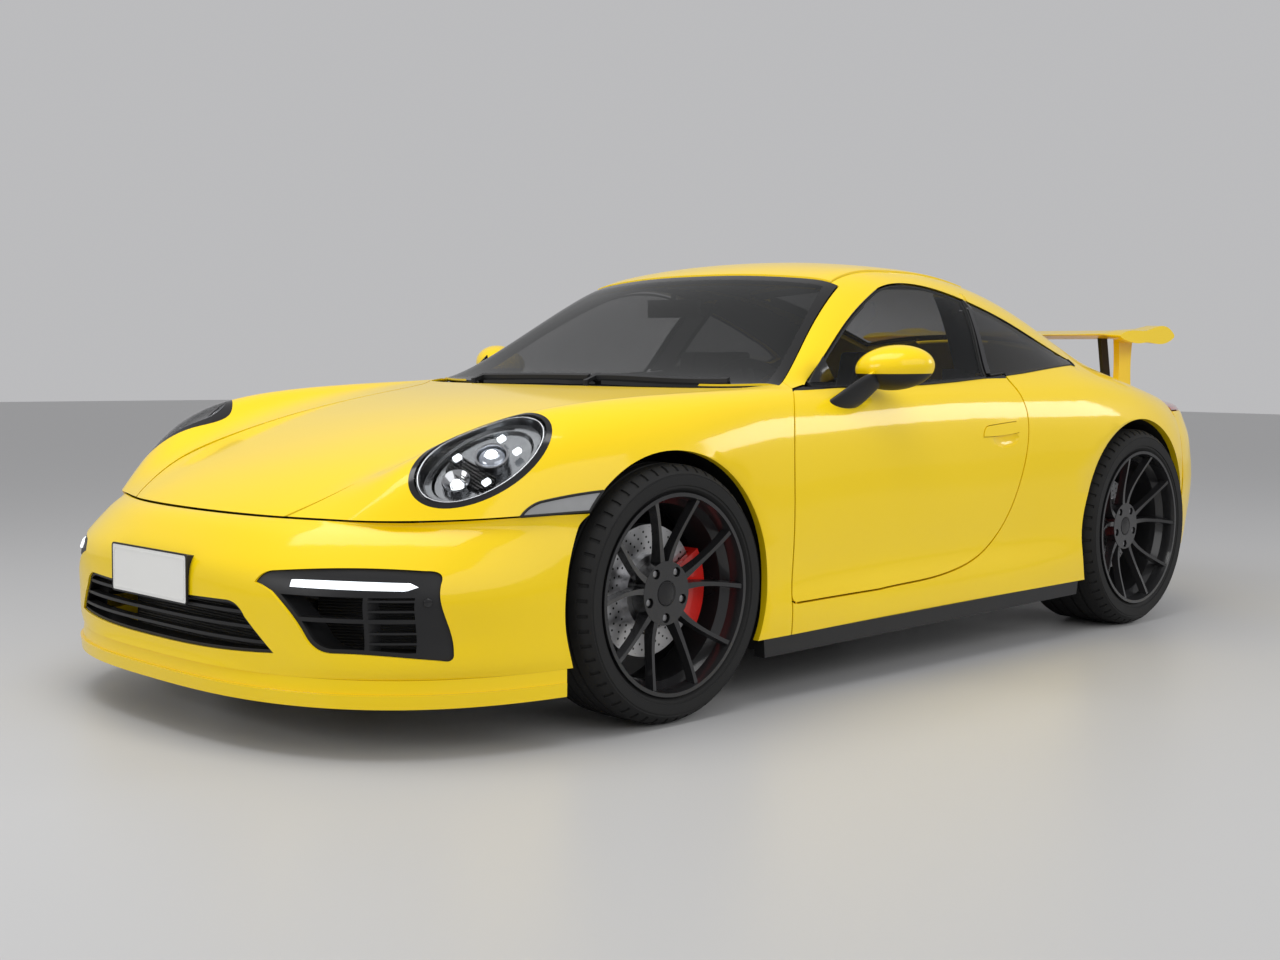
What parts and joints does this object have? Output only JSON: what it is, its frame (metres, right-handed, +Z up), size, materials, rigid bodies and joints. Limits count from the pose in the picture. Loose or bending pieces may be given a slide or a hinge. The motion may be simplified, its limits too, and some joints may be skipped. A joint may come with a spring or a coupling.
{
  "type": "sports coupe car",
  "caption": "Rear-engined fastback sports coupe with round wing lines, a fixed rear wing, opening doors, bonnet and engine lid, and steered front wheels that turn.",
  "frame": {"origin": "on the ground under the middle of the car's length and width", "axes": "+X towards the nose, +Y to the car's left side, +Z up"},
  "size_m": [4.5181, 2.022, 1.2941],
  "materials": {
    "paint_yellow": "high gloss clear coat",
    "wheel_black": "satin black",
    "tyre_rubber": "matte rubber",
    "glass_clear": "lightly tinted, polished",
    "lamp_glass": "clear polished lens",
    "plastic_black": "fine grained",
    "gloss_black": "polished black",
    "disc_steel": "machined",
    "caliper_red": "gloss red",
    "axle_metal": "as cast",
    "floor_metal": "sealed underbody coating",
    "seat_leather": "smooth black",
    "cabin_plastic": "soft touch",
    "exhaust_steel": "brushed",
    "plate_white": "semi-gloss white",
    "lamp_red": "translucent red",
    "engine_metal": "cast"
  },
  "bodies": {
    "body": {"arch_liners": "plastic_black", "body_side_left": "paint_yellow", "body_side_right": "paint_yellow", "cabin_mirror": "gloss_black", "cowl": "plastic_black", "dashboard": "cabin_plastic", "diffuser": "plastic_black", "door_pillars": "plastic_black", "engine_block": "engine_metal", "exhaust": "exhaust_steel", "floor_pan": "floor_metal", "front_axle": "axle_metal", "front_bumper": "paint_yellow", "front_lip": "paint_yellow", "front_seats": "seat_leather", "front_wings": "paint_yellow", "headlamps": "gloss_black", "intake_inserts": "plastic_black", "lamp_covers": "lamp_glass", "luggage_tub": "plastic_black", "number_plate": "plate_white", "parcel_shelf": "cabin_plastic", "quarter_windows": "glass_clear", "rear_axle": "axle_metal", "rear_bumper": "paint_yellow", "rear_calipers": "caliper_red", "rear_seats": "seat_leather", "rear_window": "glass_clear", "roof_panel": "paint_yellow", "side_skirts": "plastic_black", "steering_wheel": "cabin_plastic", "tail_light": "lamp_red", "windscreen": "glass_clear", "wipers": "plastic_black"},
    "bonnet": {"bonnet": "paint_yellow"},
    "engine_lid": {"engine_lid": "paint_yellow", "rear_wing": "paint_yellow"},
    "door_left": {"door_left": "paint_yellow", "door_glass_left": "glass_clear", "door_mirror_left": "paint_yellow"},
    "knuckle_left": {"knuckle_left": "axle_metal", "caliper_left": "caliper_red"},
    "door_right": {"door_right": "paint_yellow", "door_glass_right": "glass_clear", "door_mirror_right": "paint_yellow"},
    "knuckle_right": {"knuckle_right": "axle_metal", "caliper_right": "caliper_red"},
    "wheel_front_left": {"rim_front_left": "wheel_black", "tyre_front_left": "tyre_rubber", "disc_front_left": "disc_steel"},
    "wheel_front_right": {"rim_front_right": "wheel_black", "tyre_front_right": "tyre_rubber", "disc_front_right": "disc_steel"},
    "wheel_rear_left": {"rim_rear_left": "wheel_black", "tyre_rear_left": "tyre_rubber", "disc_rear_left": "disc_steel"},
    "wheel_rear_right": {"rim_rear_right": "wheel_black", "tyre_rear_right": "tyre_rubber", "disc_rear_right": "disc_steel"}
  },
  "joints": [
    {"name": "steer_left", "type": "hinge", "parent": "body", "child": "knuckle_left", "pos_m": [1.262, 0.715, 0.34], "axis": [0, 0, 1], "range_deg": [-35, 35]},
    {"name": "spin_front_left", "type": "hinge", "parent": "knuckle_left", "child": "wheel_front_left", "pos_m": [1.262, 0.792, 0.34], "axis": [0, 1, 0], "continuous": true},
    {"name": "spin_rear_left", "type": "hinge", "parent": "body", "child": "wheel_rear_left", "pos_m": [-1.188, 0.762, 0.358], "axis": [0, 1, 0], "continuous": true},
    {"name": "door_left_hinge", "type": "hinge", "parent": "body", "child": "door_left", "pos_m": [0.765, 0.893, 0.55], "axis": [0, 0, -1], "range_deg": [0, 65]},
    {"name": "steer_right", "type": "hinge", "parent": "body", "child": "knuckle_right", "pos_m": [1.262, -0.715, 0.34], "axis": [0, 0, 1], "range_deg": [-35, 35]},
    {"name": "spin_front_right", "type": "hinge", "parent": "knuckle_right", "child": "wheel_front_right", "pos_m": [1.262, -0.792, 0.34], "axis": [0, 1, 0], "continuous": true},
    {"name": "spin_rear_right", "type": "hinge", "parent": "body", "child": "wheel_rear_right", "pos_m": [-1.188, -0.762, 0.358], "axis": [0, 1, 0], "continuous": true},
    {"name": "door_right_hinge", "type": "hinge", "parent": "body", "child": "door_right", "pos_m": [0.765, -0.893, 0.55], "axis": [0, 0, 1], "range_deg": [0, 65]},
    {"name": "bonnet_hinge", "type": "hinge", "parent": "body", "child": "bonnet", "pos_m": [0.816, 0, 0.86], "axis": [0, -1, 0], "range_deg": [0, 60]},
    {"name": "engine_lid_hinge", "type": "hinge", "parent": "body", "child": "engine_lid", "pos_m": [-1.303, 0, 1.05], "axis": [0, 1, 0], "range_deg": [0, 50]}
  ],
  "couplings": [
    {"joint": "steer_right", "follows": "steer_left", "ratio": 1}
  ]
}
